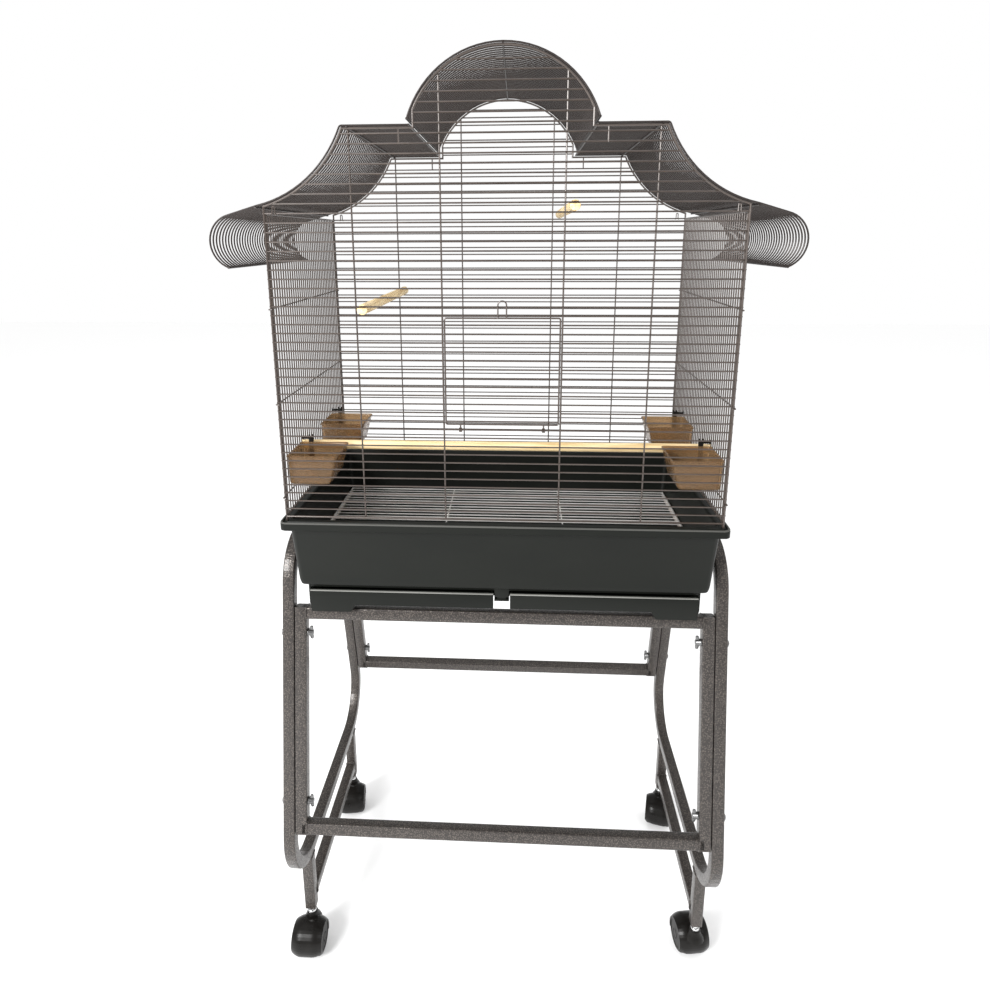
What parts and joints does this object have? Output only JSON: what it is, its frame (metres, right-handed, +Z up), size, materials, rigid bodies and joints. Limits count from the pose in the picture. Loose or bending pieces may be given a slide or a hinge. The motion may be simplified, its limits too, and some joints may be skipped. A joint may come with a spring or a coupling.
{
  "type": "bird cage on a wheeled stand",
  "caption": "Wire bird cage with a domed, curled-eave roof, drop-down door, litter tray with drawers, feed cups and perches, on a square-tube stand with swivel casters.",
  "frame": {"origin": "centre of the footprint, on the floor under the casters", "axes": "+Z up, -Y the front with the door, +X to the right seen from the front"},
  "size_m": [0.8148, 0.4682, 1.5022],
  "materials": {
    "wire": "dark bronze-black powder coat, satin",
    "tray": "dark moulded plastic, fine grain",
    "steel": "grey-brown hammertone powder coat",
    "bolt": "dark zinc",
    "caster": "black moulded nylon",
    "wheel": "black moulded nylon",
    "wood": "bare pine dowel",
    "clip": "black moulded plastic",
    "smoke": "smoked brown translucent plastic"
  },
  "bodies": {
    "cage_and_stand": {"front_panel": "wire", "back_panel": "wire", "left_side_panel": "wire", "right_side_panel": "wire", "roof_left_wing": "wire", "roof_right_wing": "wire", "roof_dome": "wire", "tray": "tray", "floor_grate": "wire", "left_side_frame": "steel", "right_side_frame": "steel", "front_frame": "steel", "back_frame": "steel", "bolt_front_left_lower": "bolt", "bolt_front_left_upper": "bolt", "bolt_front_right_lower": "bolt", "bolt_front_right_upper": "bolt", "bolt_back_left_lower": "bolt", "bolt_back_left_upper": "bolt", "bolt_back_right_lower": "bolt", "bolt_back_right_upper": "bolt", "long_perch": "wood", "left_perch": "wood", "right_perch": "wood", "cup_front_left": "smoke", "cup_front_right": "smoke", "cup_back_left": "smoke", "cup_back_right": "smoke", "cup_clip_front_left": "clip", "cup_clip_front_right": "clip", "cup_clip_back_left": "clip", "cup_clip_back_right": "clip"},
    "door": {"front_door": "wire"},
    "drawer_left": {"left_drawer": "tray"},
    "drawer_right": {"right_drawer": "tray"},
    "swivel_front_left": {"caster_front_left": "caster"},
    "wheelset_front_left": {"wheels_front_left": "wheel"},
    "swivel_front_right": {"caster_front_right": "caster"},
    "wheelset_front_right": {"wheels_front_right": "wheel"},
    "swivel_back_left": {"caster_back_left": "caster"},
    "wheelset_back_left": {"wheels_back_left": "wheel"},
    "swivel_back_right": {"caster_back_right": "caster"},
    "wheelset_back_right": {"wheels_back_right": "wheel"}
  },
  "joints": [
    {"name": "door_hinge", "type": "hinge", "parent": "cage_and_stand", "child": "door", "pos_m": [0, -0.1778, 0.98498], "axis": [1, 0, 0], "range_deg": [0, 120]},
    {"name": "left_drawer_slide", "type": "slide", "parent": "cage_and_stand", "child": "drawer_left", "axis": [0, -1, 0], "range_m": [0, 0.27]},
    {"name": "right_drawer_slide", "type": "slide", "parent": "cage_and_stand", "child": "drawer_right", "axis": [0, -1, 0], "range_m": [0, 0.27]},
    {"name": "front_left_caster_swivel", "type": "hinge", "parent": "cage_and_stand", "child": "swivel_front_left", "pos_m": [-0.3444, -0.153, 0.076], "axis": [0, 0, 1], "continuous": true},
    {"name": "front_left_wheels_spin", "type": "hinge", "parent": "swivel_front_left", "child": "wheelset_front_left", "pos_m": [-0.3444, -0.173, 0.028], "axis": [1, 0, 0], "continuous": true},
    {"name": "front_right_caster_swivel", "type": "hinge", "parent": "cage_and_stand", "child": "swivel_front_right", "pos_m": [0.3444, -0.153, 0.076], "axis": [0, 0, 1], "continuous": true},
    {"name": "front_right_wheels_spin", "type": "hinge", "parent": "swivel_front_right", "child": "wheelset_front_right", "pos_m": [0.34162, -0.13319, 0.028], "axis": [-0.9903, -0.1392, 0], "continuous": true},
    {"name": "back_left_caster_swivel", "type": "hinge", "parent": "cage_and_stand", "child": "swivel_back_left", "pos_m": [-0.3444, 0.153, 0.076], "axis": [0, 0, 1], "continuous": true},
    {"name": "back_left_wheels_spin", "type": "hinge", "parent": "swivel_back_left", "child": "wheelset_back_left", "pos_m": [-0.34162, 0.13319, 0.028], "axis": [0.9903, 0.1392, 0], "continuous": true},
    {"name": "back_right_caster_swivel", "type": "hinge", "parent": "cage_and_stand", "child": "swivel_back_right", "pos_m": [0.3444, 0.153, 0.076], "axis": [0, 0, 1], "continuous": true},
    {"name": "back_right_wheels_spin", "type": "hinge", "parent": "swivel_back_right", "child": "wheelset_back_right", "pos_m": [0.33956, 0.13359, 0.028], "axis": [0.9703, -0.2419, 0], "continuous": true}
  ]
}
